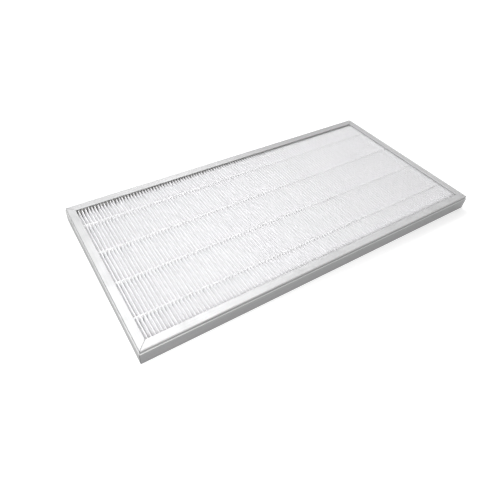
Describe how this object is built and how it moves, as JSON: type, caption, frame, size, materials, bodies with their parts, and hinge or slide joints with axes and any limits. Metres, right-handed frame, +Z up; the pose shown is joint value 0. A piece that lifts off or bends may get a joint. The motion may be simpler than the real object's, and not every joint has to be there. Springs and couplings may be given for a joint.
{
  "type": "ventilation filter",
  "caption": "Pleated panel air filter: white folded media with separator bead rows, potted into a thin mitred aluminium channel frame, for sliding or clamping into an air duct.",
  "frame": {"origin": "middle of the frame's underside", "axes": "+X along the long side, +Y from the front rail to the back rail, +Z up out of the face with the ledge beside it"},
  "size_m": [0.592, 0.287, 0.025],
  "materials": {
    "frame": "satin, as extruded",
    "corner_key": "as extruded",
    "media": "matte, fibrous",
    "hot_melt": "satin",
    "sealant": "matte"
  },
  "bodies": {
    "root": {"front_rail": "frame", "right_rail": "frame", "back_rail": "frame", "left_rail": "frame", "corner_key_front_left": "corner_key", "corner_key_front_right": "corner_key", "corner_key_back_right": "corner_key", "corner_key_back_left": "corner_key", "pleat_pack": "media", "upper_bead_row_1": "hot_melt", "upper_bead_row_2": "hot_melt", "upper_bead_row_3": "hot_melt", "upper_bead_row_4": "hot_melt", "lower_bead_row_1": "hot_melt", "lower_bead_row_2": "hot_melt", "lower_bead_row_3": "hot_melt", "lower_bead_row_4": "hot_melt", "front_sealant": "sealant", "right_sealant": "sealant", "back_sealant": "sealant", "left_sealant": "sealant"}
  },
  "joints": []
}
